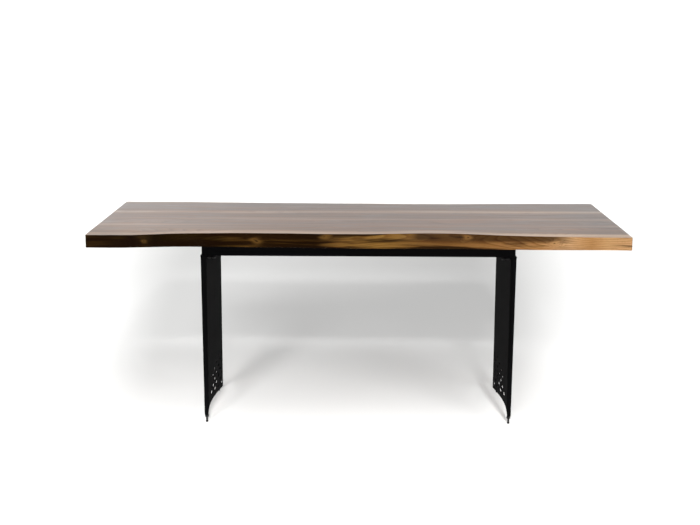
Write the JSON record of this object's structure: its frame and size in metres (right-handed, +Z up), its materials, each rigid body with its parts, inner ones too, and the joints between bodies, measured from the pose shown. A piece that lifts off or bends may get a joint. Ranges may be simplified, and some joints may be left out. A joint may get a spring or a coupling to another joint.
{
  "type": "dining table",
  "caption": "Rectangular live edge wooden dining table top of glued boards on a black sheet steel base with folded, pierced panel legs, two rails and levelling feet.",
  "frame": {"origin": "on the floor below the middle of the table", "axes": "+X along the length to the right seen from the front, +Y from the front to the rear, +Z up"},
  "size_m": [1.95, 0.83, 0.76],
  "materials": {
    "top_wood": "hardwood boards with a low sheen oil finish",
    "black_steel": "black powder coat, low sheen",
    "black_plastic": "black moulded plastic",
    "zinc_steel": "bright zinc plated",
    "black_fastener": "black oxide",
    "brass": "plain brass"
  },
  "bodies": {
    "table": {"board_front_live_edge": "top_wood", "board_front_middle": "top_wood", "board_rear_live_edge": "top_wood", "board_rear_middle": "top_wood", "cross_flat_left": "black_steel", "cross_flat_middle": "black_steel", "cross_flat_right": "black_steel", "foot_bushes": "black_steel", "foot_lock_nuts": "black_fastener", "leg_bolt_washers": "black_fastener", "leg_bolts": "black_fastener", "leg_head_plate_left": "black_steel", "leg_head_plate_right": "black_steel", "leg_sheet_left": "black_steel", "leg_sheet_right": "black_steel", "rail_end_caps": "black_plastic", "rail_front": "black_steel", "rail_nuts": "zinc_steel", "rail_rear": "black_steel", "top_inserts": "brass", "top_screw_washers": "black_fastener", "top_screws": "black_fastener"},
    "tip_front_left": {"foot_tip_front_left": "black_plastic"},
    "stem_front_left": {"foot_stem_front_left": "black_fastener"},
    "tip_front_right": {"foot_tip_front_right": "black_plastic"},
    "stem_front_right": {"foot_stem_front_right": "black_fastener"},
    "tip_rear_left": {"foot_tip_rear_left": "black_plastic"},
    "stem_rear_left": {"foot_stem_rear_left": "black_fastener"},
    "tip_rear_right": {"foot_tip_rear_right": "black_plastic"},
    "stem_rear_right": {"foot_stem_rear_right": "black_fastener"}
  },
  "joints": [
    {"name": "foot_front_left_height", "type": "slide", "parent": "table", "child": "tip_front_left", "axis": [0, 0, -1], "range_m": [-0.012, 0.008]},
    {"name": "foot_front_left_screw", "type": "hinge", "parent": "tip_front_left", "child": "stem_front_left", "pos_m": [-0.577, -0.205, 0.007], "axis": [0, 0, -1], "range_deg": [-3456, 2304]},
    {"name": "foot_front_right_height", "type": "slide", "parent": "table", "child": "tip_front_right", "axis": [0, 0, -1], "range_m": [-0.012, 0.008]},
    {"name": "foot_front_right_screw", "type": "hinge", "parent": "tip_front_right", "child": "stem_front_right", "pos_m": [0.577, -0.205, 0.007], "axis": [0, 0, -1], "range_deg": [-3456, 2304]},
    {"name": "foot_rear_left_height", "type": "slide", "parent": "table", "child": "tip_rear_left", "axis": [0, 0, -1], "range_m": [-0.012, 0.008]},
    {"name": "foot_rear_left_screw", "type": "hinge", "parent": "tip_rear_left", "child": "stem_rear_left", "pos_m": [-0.577, 0.205, 0.007], "axis": [0, 0, -1], "range_deg": [-3456, 2304]},
    {"name": "foot_rear_right_height", "type": "slide", "parent": "table", "child": "tip_rear_right", "axis": [0, 0, -1], "range_m": [-0.012, 0.008]},
    {"name": "foot_rear_right_screw", "type": "hinge", "parent": "tip_rear_right", "child": "stem_rear_right", "pos_m": [0.577, 0.205, 0.007], "axis": [0, 0, -1], "range_deg": [-3456, 2304]}
  ],
  "couplings": [
    {"joint": "foot_front_left_screw", "follows": "foot_front_left_height", "rad_per_m": 5026.5},
    {"joint": "foot_front_right_screw", "follows": "foot_front_right_height", "rad_per_m": 5026.5},
    {"joint": "foot_rear_left_screw", "follows": "foot_rear_left_height", "rad_per_m": 5026.5},
    {"joint": "foot_rear_right_screw", "follows": "foot_rear_right_height", "rad_per_m": 5026.5}
  ]
}
